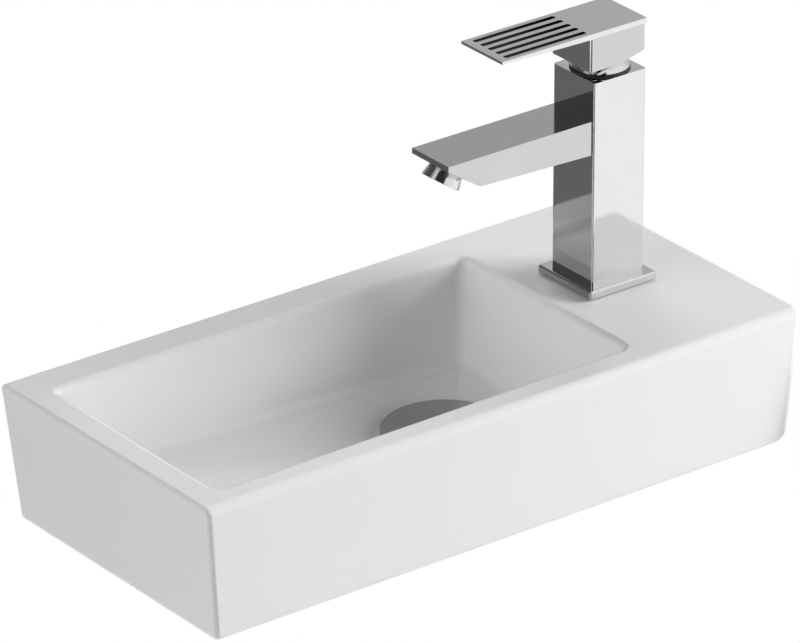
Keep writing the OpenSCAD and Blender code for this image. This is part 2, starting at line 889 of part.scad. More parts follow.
module handle() {
    back_x = col_side / 2;
    block_x = back_x + block_front;
    block_y = col_side - 2 * block_inset;
    mid_x = (back_x - block_front) / 2;
    socket = stem_side + 2 * fit;
    slots_w = (slot_n - 1) * slot_pitch;
    color("silver")
        at_tap()
            difference() {
                union() {
                    difference() {
                        translate([mid_x, 0, block_z])
                            linear_extrude(handle_top - block_z - lever_t / 2)
                                rounded_square(block_x, block_y, block_r);
                        // Hollow of the block
                        translate([mid_x, 0, block_z - cut])
                            linear_extrude(lever_z - block_z + cut)
                                rounded_square(block_x - 2 * block_wall, block_y - 2 * block_wall, block_r / 2);
                        // Slanted underside behind the axis, which lets the handle tip back
                        rotate([90, 0, 0])
                            linear_extrude(2 * col_side, center = true)
                                polygon([
                                    [0, block_z],
                                    [2 * back_x, block_z + 2 * block_rise],
                                    [2 * back_x, block_z - cut],
                                    [0, block_z - cut]
                                ]);
                    }
                    // Lever plate, thinner towards its tip
                    rotate([90, 0, 0])
                        linear_extrude(col_side, center = true)
                            polygon([
                                [back_x, handle_top],
                                [-lever_reach, handle_top],
                                [-lever_reach, handle_top - lever_tip_t],
                                [-block_front, lever_z],
                                [back_x, lever_z]
                            ]);
                    translate([0, 0, boss_z])
                        cylinder(r = boss_r, h = lever_z - boss_z + cut, $fn = round_fn);
                }
                translate([-socket / 2, -socket / 2, boss_z - cut])
                    cube([socket, socket, stem_top - boss_z + cut + 0.5]);
                for (i = [0 : slot_n - 1])
                    translate([-lever_reach + slot_from_tip, -slots_w / 2 + i * slot_pitch, lever_z - cut])
                        linear_extrude(lever_t + 2 * cut)
                            translate([slot_len / 2, 0])
                                rounded_square(slot_len, slot_w, slot_w / 3);
                // Tapped hole for the grub screw, reached through a wider hole in the back
                translate([0, 0, screw_z])
                    rotate([0, 90, 0])
                        cylinder(r = screw_r + fit, h = boss_r + cut, $fn = round_fn);
                translate([boss_r + cut / 2, 0, screw_z])
                    rotate([0, 90, 0])
                        cylinder(r = plug_hole_r, h = back_x, $fn = round_fn);
            }
}

module grub_screw() {
    screw_len = 5;
    key_af = 2.5;
    color("gray")
        at_tap()
            translate([stem_side / 2, 0, screw_z])
                rotate([0, 90, 0])
                    difference() {
                        cylinder(r = screw_r, h = screw_len, $fn = round_fn);
                        translate([0, 0, screw_len - 2])
                            cylinder(r = key_af / sqrt(3), h = 2 + cut, $fn = 6);
                    }
}

module indicator_plug() {
    color("firebrick")
        at_tap()
            translate([col_side / 2, 0, screw_z])
                rotate([0, 90, 0]) {
                    cylinder(r = plug_hole_r + 0.4, h = 0.7, $fn = round_fn);
                    translate([0, 0, -block_wall])
                        cylinder(r = plug_hole_r - fit, h = block_wall + 0.1, $fn = round_fn);
                }
}

module mounting_stud() {
    into = inlet_len - spigot_drop - 0.5;
    color("gray")
        at_tap()
            translate([stud_x, 0, -stud_drop])
                cylinder(r = stud_r, h = stud_drop + into, $fn = round_fn);
}

// Crescent that bears on the deck's underside and leaves room for the hoses
module crescent(z, t) {
    hose_w = 27;
    slot_x = inlet_x + 5.4;
    translate([0, 0, z])
        difference() {
            cylinder(r = crescent_r, h = t, $fn = round_fn);
            translate([-2 * crescent_r, -hose_w / 2, -cut])
                cube([2 * crescent_r + slot_x, hose_w, t + 2 * cut]);
            translate([stud_x, 0, -cut])
                cylinder(r = stud_r + fit, h = t + 2 * cut, $fn = round_fn);
        }
}

module stud_rubber() {
    color("dimgray")
        at_tap()
            crescent(-deck_t - crescent_rubber_t, crescent_rubber_t);
}

module stud_plate() {
    color("silver")
        at_tap()
            crescent(-deck_t - crescent_rubber_t - crescent_steel_t, crescent_steel_t);
}

module stud_nut() {
    color("goldenrod")
        at_tap()
            translate([stud_x, 0, 0])
                hex_nut(stud_nut_af, stud_r + fit, stud_nut_h,
                    -deck_t - crescent_rubber_t - crescent_steel_t - stud_nut_h);
}

module waste_body() {
    arm_w = 4;
    color("silver")
        at_waste()
            difference() {
                union() {
                    translate([0, 0, flange_z])
                        cylinder(r = flange_r, h = flange_t, $fn = round_fn);
                    ring(tail_r, tail_bore_r, tail_drop + flange_z + cut, -tail_drop);
                    // Hub and arms that carry the click housing
                    translate([0, 0, hub_z])
                        cylinder(r = hub_r, h = hub_t, $fn = round_fn);
                    for (turn = [0, 120, 240])
                        rotate([0, 0, turn])
                            translate([0, -arm_w / 2, hub_z])
                                cube([(tail_r + tail_bore_r) / 2, arm_w, hub_t]);
                }
                translate([0, 0, hub_z + hub_t])
                    cylinder(r = tail_bore_r, h = tail_drop, $fn = round_fn);
                translate([0, 0, hub_z - cut])
                    cylinder(r = plug_stem_r - 0.5, h = hub_t + 2 * cut, $fn = round_fn);
                ring(tail_r + cut, tail_r - groove_t, groove_h, groove_z);
            }
}

module top_seal() {
    color("dimgray")
        at_waste()
            ring(flange_r - 0.5, tail_r + 0.6, top_seal_t);
}

module lower_seal() {
    taper = 2;
    color("dimgray")
        at_waste()
            translate([0, 0, under_z - low_seal_t])
                rotate_extrude($fn = round_fn)
                    polygon([
                        [tail_r + fit, 0],
                        [flange_r - taper - 1, 0],
                        [flange_r - 1, low_seal_t],
                        [tail_r + fit, low_seal_t]
                    ]);
}

module slip_washer() {
    color("gainsboro")
        at_waste()
            ring(flange_r, tail_r + fit, slip_t, slip_z);
}

module back_nut() {
    color("goldenrod")
        at_waste()
            hex_nut(back_nut_af, tail_r + fit, back_nut_h, back_nut_z);
}

module click_housing() {
    color("goldenrod")
        at_waste()
            difference() {
                union() {
                    translate([0, 0, housing_z])
                        cylinder(r = housing_r, h = housing_top - housing_z, $fn = round_fn);
                    translate([0, 0, hub_z])
                        cylinder(r = plug_stem_r - 0.5 - fit, h = hub_t + cut, $fn = round_fn);
                }
                translate([0, 0, housing_floor])
                    cylinder(r = plug_stem_r + run, h = housing_top - housing_floor + cut, $fn = round_fn);
            }
}

// Compression spring under the plug's stem, swept as one six-sided wire along a helix
module plug_spring() {
    sides = 6;
    rings = 10 * spring_turns;
    base_z = housing_floor + wire_r;
    rise = plug_stem_z - housing_floor - 2 * wire_r;
    points = [for (i = [0 : rings], k = [0 : sides - 1])
        let (turn = 360 * spring_turns * i / rings, a = 360 * k / sides, r = spring_r + wire_r * cos(a))
            [r * cos(turn), r * sin(turn), base_z + rise * i / rings + wire_r * sin(a)]];
    walls = [for (i = [0 : rings - 1], k = [0 : sides - 1])
        let (a = i * sides + k, b = i * sides + (k + 1) % sides)
            [a, a + sides, b + sides, b]];
    ends = [[for (k = [0 : sides - 1]) k], [for (k = [0 : sides - 1]) rings * sides + sides - 1 - k]];
    color("gray")
        at_waste()
            polyhedron(points, concat(walls, ends), convexity = 6);
}

module plug_stem() {
    color("goldenrod")
        at_waste() {
            translate([0, 0, plug_stem_z])
                cylinder(r = plug_stem_r, h = boss_low - plug_stem_z, $fn = round_fn);
            translate([0, 0, boss_low - cut])
                cylinder(r = plug_stem_r - 1, h = plug_pin_len + cut, $fn = round_fn);
        }
}

module plug_cap() {
    lip_t = 1.1;
    lip_drop = 1.3;
    bevel = 0.8;
    cap_boss_r = 7.2;
    color("silver")
        at_waste()
            difference() {
                union() {
                    translate([0, 0, cap_z])
                        cylinder(r = cap_r, h = cap_t - bevel, $fn = round_fn);
                    translate([0, 0, cap_z + cap_t - bevel])
                        cylinder(r1 = cap_r, r2 = cap_r - bevel, h = bevel, $fn = round_fn);
                    ring(cap_r, cap_r - lip_t, lip_drop + cut, cap_z - lip_drop);
                    translate([0, 0, boss_low])
                        cylinder(r = cap_boss_r, h = cap_z - boss_low + cut, $fn = round_fn);
                }
                translate([0, 0, boss_low - cut])
                    cylinder(r = plug_stem_r - 1 + fit, h = plug_pin_len + cut + fit, $fn = round_fn);
            }
}

module plug_seal() {
    color("dimgray")
        at_waste()
            ring(plug_seal_out, plug_seal_in, cap_seal_t, cap_z - cap_seal_t);
}

basin();
base_gasket();
base_plate();
tap_column();
spout();
aerator_washer();
aerator_insert();
aerator_housing();
port_seals();
cartridge_base();
fixed_disc();
moving_disc();
disc_carrier();
stem_guide();
pivot_pin();
cartridge_body();
cartridge_nut();
dome_ring();
dome_cover();
stem();
handle();
grub_screw();
indicator_plug();
mounting_stud();
stud_rubber();
stud_plate();
stud_nut();
waste_body();
top_seal();
lower_seal();
slip_washer();
back_nut();
click_housing();
plug_spring();
plug_stem();
plug_cap();
plug_seal();
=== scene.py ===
import bpy
import bmesh
import json
import math
from mathutils import Matrix, Vector


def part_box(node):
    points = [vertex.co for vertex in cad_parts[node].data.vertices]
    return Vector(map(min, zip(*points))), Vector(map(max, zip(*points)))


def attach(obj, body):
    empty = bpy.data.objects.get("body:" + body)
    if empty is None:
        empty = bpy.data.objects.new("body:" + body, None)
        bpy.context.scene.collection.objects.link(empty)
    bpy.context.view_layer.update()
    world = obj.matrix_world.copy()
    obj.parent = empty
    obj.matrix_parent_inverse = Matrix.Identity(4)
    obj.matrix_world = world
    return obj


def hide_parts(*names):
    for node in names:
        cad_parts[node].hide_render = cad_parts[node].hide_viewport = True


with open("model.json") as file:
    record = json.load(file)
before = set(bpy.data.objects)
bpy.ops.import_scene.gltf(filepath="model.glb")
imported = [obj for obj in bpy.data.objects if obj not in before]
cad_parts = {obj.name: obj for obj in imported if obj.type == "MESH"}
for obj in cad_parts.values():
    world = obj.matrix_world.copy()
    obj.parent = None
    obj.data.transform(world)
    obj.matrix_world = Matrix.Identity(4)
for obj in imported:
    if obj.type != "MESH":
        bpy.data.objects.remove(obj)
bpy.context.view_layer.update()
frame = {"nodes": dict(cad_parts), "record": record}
scene = bpy.context.scene
scene.view_settings.view_transform = "Standard"
mm = 0.001
print("stage 1: frame loaded with", len(frame["nodes"]), "nodes")

cameraSetup = {
    "place": (-2.02687, -2.73555, 1.67406),
    "target": (-0.03587, -0.12825, 0.09611),
    "lens": 335.57,
    "sensor": 36.0,
    "nearest": 0.1,
    "farthest": 60.0,
}


def linkObject(name, data):
    made = bpy.data.objects.new(name, data)
    scene.collection.objects.link(made)
    return made


def addCamera(setup):
    data = bpy.data.cameras.new("photoCamera")
    data.lens = setup["lens"]
    data.sensor_width = setup["sensor"]
    data.clip_start = setup["nearest"]
    data.clip_end = setup["farthest"]
    camera = linkObject("photoCamera", data)
    place = Vector(setup["place"])
    camera.location = place
    camera.rotation_euler = (Vector(setup["target"]) - place).to_track_quat("-Z", "Y").to_euler()
    scene.camera = camera


addCamera(cameraSetup)
print("stage 2: camera placed")


def plainObject(name, bm):
    mesh = bpy.data.meshes.new(name)
    bm.to_mesh(mesh)
    bm.free()
    return linkObject(name, mesh)


def newNodes(tree):
    tree.nodes.clear()
    return tree.nodes, tree.links


def newMaterial(name):
    material = bpy.data.materials.new(name)
    material.use_nodes = True
    return (material, *newNodes(material.node_tree))


def showShader(nodes, links, shader, kind="Material"):
    output = nodes.new("ShaderNodeOutput" + kind)
    links.new(shader.outputs[0], output.inputs["Surface"])


def grey(value):
    return (value, value, value, 1)


def plainShader(nodes, kind, socket=None, value=None):
    shader = nodes.new("ShaderNode" + kind)
    if socket:
        shader.inputs[socket].default_value = value
    return shader


def mixShaders(nodes, links, share, first, second):
    mix = nodes.new("ShaderNodeMixShader")
    links.new(share, mix.inputs[0])
    links.new(first.outputs[0], mix.inputs[1])
    links.new(second.outputs[0], mix.inputs[2])
    return mix


def mixColours(nodes, links, share, first, second):
    # Each of the two is a colour, or a socket that gives one
    mix = nodes.new("ShaderNodeMix")
    mix.data_type = "RGBA"
    links.new(share, mix.inputs[0])
    for slot, colour in ((6, first), (7, second)):
        if isinstance(colour, tuple):
            mix.inputs[slot].default_value = colour
        else:
            links.new(colour, mix.inputs[slot])
    return mix.outputs[2]


def worked(nodes, links, operation, first, second=None):
    # A Math node; the second value is a number or a socket
    step = nodes.new("ShaderNodeMath")
    step.operation = operation
    links.new(first, step.inputs[0])
    if isinstance(second, float):
        step.inputs[1].default_value = second
    elif second is not None:
        links.new(second, step.inputs[1])
    return step.outputs[0]


def ramped(nodes, links, source, zeroAt, oneAt):
    # A soft step from 0 to 1, which may run downwards
    step = nodes.new("ShaderNodeMapRange")
    step.interpolation_type = "SMOOTHSTEP"
    step.inputs["From Min"].default_value = zeroAt
    step.inputs["From Max"].default_value = oneAt
    links.new(source, step.inputs["Value"])
    return step.outputs[0]


def objectPlace(nodes):
    return nodes.new("ShaderNodeTexCoord").outputs["Object"]


def placeAxes(nodes, links, whole=None):
    # X, Y and Z of the place on the object, or of another vector
    split = nodes.new("ShaderNodeSeparateXYZ")
    links.new(whole or objectPlace(nodes), split.inputs[0])
    return split.outputs


studio = {
    "floorDrop": -0.85,
    "floorSize": 12.0,
    "paper": 0.9,
    "ambient": 0.02,
}


def seenRays(nodes, links):
    # 1 for rays of the camera, of gloss and of glass, which all see the white background
    rays = nodes.new("ShaderNodeLightPath").outputs
    direct = worked(nodes, links, "MAXIMUM", rays["Is Camera Ray"], rays["Is Glossy Ray"])
    return worked(nodes, links, "MAXIMUM", direct, rays["Is Transmission Ray"])


def addWorld(setup):
    world = bpy.data.worlds.new("studioWorld")
    scene.world = world
    world.use_nodes = True
    nodes, links = newNodes(world.node_tree)
    ambient = plainShader(nodes, "Background", "Strength", setup["ambient"])
    ambient.inputs["Color"].default_value = grey(1)
    white = plainShader(nodes, "Background", "Color", grey(1))
    showShader(nodes, links, mixShaders(nodes, links, seenRays(nodes, links), ambient, white), "World")


def addFloor(setup):
    bm = bmesh.new()
    bmesh.ops.create_grid(bm, x_segments=1, y_segments=1, size=setup["floorSize"] / 2)
    bmesh.ops.translate(bm, verts=bm.verts, vec=(0, 0, setup["floorDrop"]))
    floor = plainObject("studioFloor", bm)
    material, nodes, links = newMaterial("floorPaper")
    paper = plainShader(nodes, "BsdfDiffuse", "Color", grey(setup["paper"]))
    white = plainShader(nodes, "Emission")
    upper = mixShaders(nodes, links, seenRays(nodes, links), paper, white)
    # Seen from below the floor lets the view through
    side = nodes.new("ShaderNodeNewGeometry")
    clear = plainShader(nodes, "BsdfTransparent")
    showShader(nodes, links, mixShaders(nodes, links, side.outputs["Backfacing"], upper, clear))
    floor.data.materials.append(material)


mirrorDome = {
    "radius": 1.4,
    "centre": (0.12, -0.08, 0.12),
    "segments": 64,
    "rings": 32,
    # Degrees round from the right, and the grey seen there near the horizon
    "belt": ((-180, 0.95), (-160, 0.95), (-151, 0.12), (-124, 0.12), (-112, 0.95), (-95, 1.04),
             (-20, 1.04), (20, 0.6), (55, 0.42), (95, 0.20), (108, 0.14), (140, 0.14), (152, 0.05),
             (166, 0.08), (174, 0.9)),
    # The same for the part above the horizon
    "sky": ((-180, 0.80), (-172, 0.50), (-162, 0.03), (-104, 0.03), (-94, 0.90), (-20, 0.90),
            (30, 0.50), (80, 0.45), (105, 0.10), (145, 0.05), (165, 0.45)),
    "ground": 1.0,
    # Heights of the direction at which one part gives way to the next
    "skyFrom": -0.12,
    "skyFull": 0.10,
    "groundFrom": -0.52,
    "groundFull": -0.72,
}


def greyRound(nodes, links, around, stops):
    # Grey by direction, from a list of degrees and values
    turned = nodes.new("ShaderNodeMapRange")
    turned.inputs["From Min"].default_value = -math.pi
    turned.inputs["From Max"].default_value = math.pi
    links.new(around, turned.inputs["Value"])
    ramp = nodes.new("ShaderNodeValToRGB")
    points = ramp.color_ramp.elements
    points[0].position = 0.0
    points[0].color = grey(stops[0][1])
    points[1].position = (stops[-1][0] + 180) / 360
    points[1].color = grey(stops[-1][1])
    for degrees, value in stops[1:-1]:
        points.new((degrees + 180) / 360).color = grey(value)
    points.new(1.0).color = grey(stops[0][1])
    links.new(turned.outputs[0], ramp.inputs[0])
    return ramp.outputs[0]


def addMirrorDome(setup):
    # A ball of cards round the basin that only polished surfaces see, painted by direction
    bm = bmesh.new()
    bmesh.ops.create_uvsphere(bm, u_segments=setup["segments"], v_segments=setup["rings"],
                              radius=setup["radius"])
    dome = plainObject("mirrorDome", bm)
    dome.location = setup["centre"]
    material, nodes, links = newMaterial("domeCards")
    aim = nodes.new("ShaderNodeVectorMath")
    aim.operation = "NORMALIZE"
    links.new(objectPlace(nodes), aim.inputs[0])
    way = placeAxes(nodes, links, aim.outputs[0])
    around = worked(nodes, links, "ARCTAN2", way["Y"], way["X"])
    skyShare = ramped(nodes, links, way["Z"], setup["skyFrom"], setup["skyFull"])
    upper = mixColours(nodes, links, skyShare, greyRound(nodes, links, around, setup["belt"]),
                       greyRound(nodes, links, around, setup["sky"]))
    upperShare = ramped(nodes, links, way["Z"], setup["groundFull"], setup["groundFrom"])
    glow = nodes.new("ShaderNodeEmission")
    links.new(mixColours(nodes, links, upperShare, grey(setup["ground"]), upper), glow.inputs["Color"])
    showShader(nodes, links, glow)
    dome.data.materials.append(material)
    dome.visible_camera = False
    dome.visible_diffuse = False
    dome.visible_shadow = False
    dome.visible_transmission = False


softboxes = {
    "aim": (0.0, -0.09, 0.03),
    # Name: degrees round from the right, degrees above the horizon, distance, size, watts
    "lamps": {
        "keySoftbox": (-25, 12, 3.0, 1.6, 96.6),
        "highKeySoftbox": (-25, 25, 3.0, 1.6, 41.2),
        "backRightSoftbox": (60, 45, 1.5, 0.8, 6.1),
        "backLeftSoftbox": (160, 20, 3.0, 1.6, 17.0),
        "frontLeftSoftbox": (-160, 25, 1.5, 0.8, 4.7),
        "leftSoftbox": (180, 12, 1.5, 0.8, 2.0),
        "highLeftSoftbox": (180, 45, 1.5, 0.8, 1.6),
    },
}


def addSoftboxes(setup):
    aim = Vector(setup["aim"])
    for name, (around, up, far, size, watts) in setup["lamps"].items():
        data = bpy.data.lights.new(name, "AREA")
        data.size = size
        data.energy = watts
        lamp = linkObject(name, data)
        lamp.visible_glossy = False
        level = math.cos(math.radians(up))
        way = Vector((level * math.cos(math.radians(around)), level * math.sin(math.radians(around)),
                      math.sin(math.radians(up))))
        lamp.location = aim + way * far
        lamp.rotation_euler = (-way).to_track_quat("-Z", "Y").to_euler()


nets = {
    # Each is a flat sheet between a low and a high edge; opaque is the share of light it stops
    "endNet": {"x": (0.188, 0.188), "y": (-0.172, 0.003), "z": (-0.06, 0.0525), "opaque": 0.65},
    "bowlNet": {"x": (-0.1535, -0.1635), "y": (-0.154, -0.0225), "z": (0.012, 0.0545), "opaque": 0.45},
}


def addNet(name, setup):
    # Keeps part of the key light off a face that it meets squarely, on the net's left side alone
    bm = bmesh.new()
    bmesh.ops.create_grid(bm, x_segments=1, y_segments=1, size=0.5)
    for vert in bm.verts:
        along, up = vert.co.x > 0, vert.co.y > 0
        vert.co = (setup["x"][up], setup["y"][along], setup["z"][up])
    sheet = plainObject(name, bm)
    material, nodes, links = newMaterial(name)
    side = nodes.new("ShaderNodeNewGeometry")
    share = worked(nodes, links, "MULTIPLY", side.outputs["Backfacing"], setup["opaque"])
    clear = plainShader(nodes, "BsdfTransparent")
    black = plainShader(nodes, "BsdfDiffuse", "Color", grey(0))
    showShader(nodes, links, mixShaders(nodes, links, share, clear, black))
    sheet.data.materials.append(material)
    sheet.visible_camera = False
    sheet.visible_diffuse = False
    sheet.visible_glossy = False
    sheet.visible_transmission = False


addWorld(studio)
addFloor(studio)
addMirrorDome(mirrorDome)
addSoftboxes(softboxes)
for netName, netSetup in nets.items():
    addNet(netName, netSetup)
print("stage 3: studio built")


# Detail of the noise in each group, the part of it that the clouds use, and the slant of the scratches
clouds = {"detail": 4.0, "rough": 0.6, "from": 0.3, "to": 0.7}
scratches = {"detail": 2.0, "slant": (0.4, 0.7, 0.5), "middle": 0.5}
grainDetail = 6.0


def newGroup(name, output, **inputs):
    # A node group with these inputs, and the nodes and sockets that its inside needs
    group = bpy.data.node_groups.new(name, "ShaderNodeTree")
    for label, value in inputs.items():
        socket = group.interface.new_socket(label, in_out="INPUT", socket_type="NodeSocketFloat")
        socket.default_value = value
    group.interface.new_socket(output, in_out="OUTPUT", socket_type="NodeSocketFloat")
    given = group.nodes.new("NodeGroupInput").outputs
    result = group.nodes.new("NodeGroupOutput").inputs[output]
    return group, group.nodes, group.links, given, result


def scaledNoise(nodes, links, place, scale, detail):
    noise = nodes.new("ShaderNodeTexNoise")
    noise.inputs["Detail"].default_value = detail
    links.new(place, noise.inputs["Vector"])
    links.new(scale, noise.inputs["Scale"])
    return noise


def buildCloudyValue(setup):
    # A slow cloudy value between two limits, for roughness and tint
    group, nodes, links, given, result = newGroup("cloudyValue", "Value", Scale=20.0, Low=0.1, High=0.2)
    noise = scaledNoise(nodes, links, objectPlace(nodes), given["Scale"], setup["detail"])
    noise.inputs["Roughness"].default_value = setup["rough"]
    spread = nodes.new("ShaderNodeMapRange")
    spread.inputs["From Min"].default_value = setup["from"]
    spread.inputs["From Max"].default_value = setup["to"]
    links.new(noise.outputs["Fac"], spread.inputs["Value"])
    links.new(given["Low"], spread.inputs["To Min"])
    links.new(given["High"], spread.inputs["To Max"])
    links.new(spread.outputs[0], result)
    return group


def buildFineScratch(setup):
    # Thin wandering lines of wear, as a height
    group, nodes, links, given, result = newGroup("fineScratch", "Height", Scale=60.0, Stretch=12.0,
                                                  Thin=0.04)
    stretch = nodes.new("ShaderNodeCombineXYZ")
    stretch.inputs[1].default_value = 1.0
    stretch.inputs[2].default_value = 1.0
    links.new(given["Stretch"], stretch.inputs[0])
    turn = nodes.new("ShaderNodeMapping")
    turn.inputs["Rotation"].default_value = setup["slant"]
    links.new(stretch.outputs[0], turn.inputs["Scale"])
    links.new(objectPlace(nodes), turn.inputs["Vector"])
    noise = scaledNoise(nodes, links, turn.outputs[0], given["Scale"], setup["detail"])
    # The lines run where the noise passes its middle
    away = worked(nodes, links, "SUBTRACT", noise.outputs["Fac"], setup["middle"])
    line = nodes.new("ShaderNodeMapRange")
    links.new(given["Thin"], line.inputs["From Max"])
    links.new(worked(nodes, links, "ABSOLUTE", away), line.inputs["Value"])
    links.new(line.outputs[0], result)
    return group


def buildFineGrain(detail):
    # Fine grain of a cast, moulded or lapped surface, as a height
    group, nodes, links, given, result = newGroup("fineGrain", "Height", Scale=900.0)
    noise = scaledNoise(nodes, links, objectPlace(nodes), given["Scale"], detail)
    links.new(noise.outputs["Fac"], result)
    return group


cloudyValue = buildCloudyValue(clouds)
fineScratch = buildFineScratch(scratches)
fineGrain = buildFineGrain(grainDetail)


def placeGroup(nodes, group, **values):
    node = nodes.new("ShaderNodeGroup")
    node.node_tree = group
    for label, value in values.items():
        node.inputs[label].default_value = value
    return node


# Painted shade in reflections: how dark the glaze gets for glossy rays, and where on the deck
mirrorPaintedShade = {"dim": 0.56, "clearFromX": 0.112, "dimUpToX": 0.104, "clearToZ": 0.046, "dimFromZ": 0.052}
# Painted shade and painted reflection: a dark band low on the dome, for the gap under the handle
paintedGapShade = {"shade": 0.05, "clearFrom": 0.1747, "darkUpTo": 0.1744}
bumpDepth = {"grain": 0.0002, "scratch": 0.00005}


def paintShadeInMirrors(nodes, links, colour, setup):
    # Painted shade: polished metal sees the deck left of the tap darker than the camera does, a painted copy
    # of the tap's shadow in its reflections
    place = placeAxes(nodes, links)
    beside = ramped(nodes, links, place["X"], setup["clearFromX"], setup["dimUpToX"])
    onDeck = ramped(nodes, links, place["Z"], setup["clearToZ"], setup["dimFromZ"])
    there = worked(nodes, links, "MULTIPLY", beside, onDeck)
    path = nodes.new("ShaderNodeLightPath")
    share = worked(nodes, links, "MULTIPLY", there, path.outputs["Is Glossy Ray"])
    return mixColours(nodes, links, share, colour, grey(setup["dim"]))


def paintedShadeBelow(nodes, links, colour, setup):
    # Painted shade: darker below a height, a painted copy of a narrow gap's shadow and its dark reflection
    height = placeAxes(nodes, links)["Z"]
    share = ramped(nodes, links, height, setup["clearFrom"], setup["darkUpTo"])
    return mixColours(nodes, links, share, colour, grey(setup["shade"]))


def bumped(nodes, links, height, strength, depth, under=None):
    bump = nodes.new("ShaderNodeBump")
    bump.inputs["Strength"].default_value = strength
    bump.inputs["Distance"].default_value = depth
    links.new(height, bump.inputs["Height"])
    if under is not None:
        links.new(under, bump.inputs["Normal"])
    return bump.outputs[0]


def finish(name, light, dark, metallic, roughLow, roughHigh, cloud=25.0, tintCloud=9.0,
           grain=900.0, bump=0.0, scratch=0.0, paintedInMirrors=None, foot=None):
    # One procedural finish: tint between two colours, cloudy roughness, grain and scratches as bump; some
    # also get painted shade in reflections, or a painted dark band low down
    material, nodes, links = newMaterial(name)
    shader = plainShader(nodes, "BsdfPrincipled", "Metallic", metallic)
    tint = placeGroup(nodes, cloudyValue, Scale=tintCloud, Low=0.0, High=1.0)
    colour = mixColours(nodes, links, tint.outputs["Value"], (*dark, 1), (*light, 1))
    if paintedInMirrors:
        colour = paintShadeInMirrors(nodes, links, colour, paintedInMirrors)
    if foot:
        colour = paintedShadeBelow(nodes, links, colour, foot)
    links.new(colour, shader.inputs["Base Color"])
    rough = placeGroup(nodes, cloudyValue, Scale=cloud, Low=roughLow, High=roughHigh)
    links.new(rough.outputs["Value"], shader.inputs["Roughness"])
    grains = placeGroup(nodes, fineGrain, Scale=grain)
    normal = bumped(nodes, links, grains.outputs["Height"], bump, bumpDepth["grain"])
    lines = placeGroup(nodes, fineScratch)
    normal = bumped(nodes, links, lines.outputs["Height"], scratch, bumpDepth["scratch"], normal)
    links.new(normal, shader.inputs["Normal"])
    showShader(nodes, links, shader)
    return material


chromeLook = {"cloud": 30, "tintCloud": 20, "grain": 90, "bump": 0.05, "scratch": 0.05}
finishes = {
    # The glaze carries painted shade where the metal reflects the deck left of the tap
    "ceramic_glaze": finish("whiteGlaze", (0.90, 0.90, 0.895), (0.88, 0.88, 0.875), 0, 0.20, 0.27,
                            cloud=14, tintCloud=6, grain=60, bump=0.05, paintedInMirrors=mirrorPaintedShade),
    "chrome": finish("polishedChrome", (0.80, 0.805, 0.81), (0.76, 0.765, 0.77), 1, 0.03, 0.07,
                     **chromeLook),
    # The dome's chrome carries a painted dark band near its foot
    "domeChromePaintedShade": finish("domeChromePaintedShade", (0.80, 0.805, 0.81), (0.76, 0.765, 0.77), 1, 0.03, 0.07,
                         foot=paintedGapShade, **chromeLook),
    # A darker copy of the polished chrome, as painted shade: the spout, and the lever's near side
    "chromePaintedShade": finish("chromePaintedShade", (0.63, 0.635, 0.64), (0.59, 0.595, 0.60), 1, 0.05, 0.10,
                         **chromeLook),
    "capChrome": finish("capChrome", (0.47, 0.475, 0.48), (0.42, 0.425, 0.43), 1, 0.10, 0.18,
                        cloud=40, tintCloud=30, grain=120, bump=0.05, scratch=0.08),
    # Painted shade: near-black metal for the slots' walls, where shade falls
    "slotPaintedShade": finish("slotPaintedShade", (0.035, 0.035, 0.037), (0.02, 0.02, 0.022), 1, 0.3, 0.45,
                        grain=1500, bump=0.2),
    "brass": finish("turnedBrass", (0.78, 0.60, 0.30), (0.66, 0.48, 0.22), 1, 0.22, 0.36,
                    grain=1200, bump=0.25, scratch=0.4),
    "steel": finish("platedSteel", (0.62, 0.62, 0.62), (0.50, 0.50, 0.51), 1, 0.28, 0.42,
                    grain=1400, bump=0.3, scratch=0.5),
    "rubber": finish("mattRubber", (0.05, 0.05, 0.05), (0.03, 0.03, 0.03), 0, 0.55, 0.75,
                     grain=2200, bump=0.4),
    "white_plastic": finish("whitePlastic", (0.84, 0.84, 0.82), (0.78, 0.78, 0.76), 0, 0.35, 0.5,
                            grain=1800, bump=0.2),
    "blue_plastic": finish("bluePlastic", (0.34, 0.44, 0.60), (0.28, 0.38, 0.54), 0, 0.35, 0.5,
                           grain=1800, bump=0.2),
    "red_plastic": finish("redPlastic", (0.55, 0.05, 0.04), (0.45, 0.04, 0.03), 0, 0.15, 0.25,
                          grain=1800, bump=0.1),
    "disc_ceramic": finish("lappedCeramic", (0.88, 0.86, 0.80), (0.82, 0.80, 0.74), 0, 0.12, 0.2,
                           grain=3000, bump=0.05),
}
slotOf = {row["node"]: row["material_slot"] for row in frame["record"]["subparts"]}
for nodeName, nodeObject in frame["nodes"].items():
    nodeObject.data.materials.clear()
    nodeObject.data.materials.append(finishes[slotOf[nodeName]])
print("stage 4: finishes made")

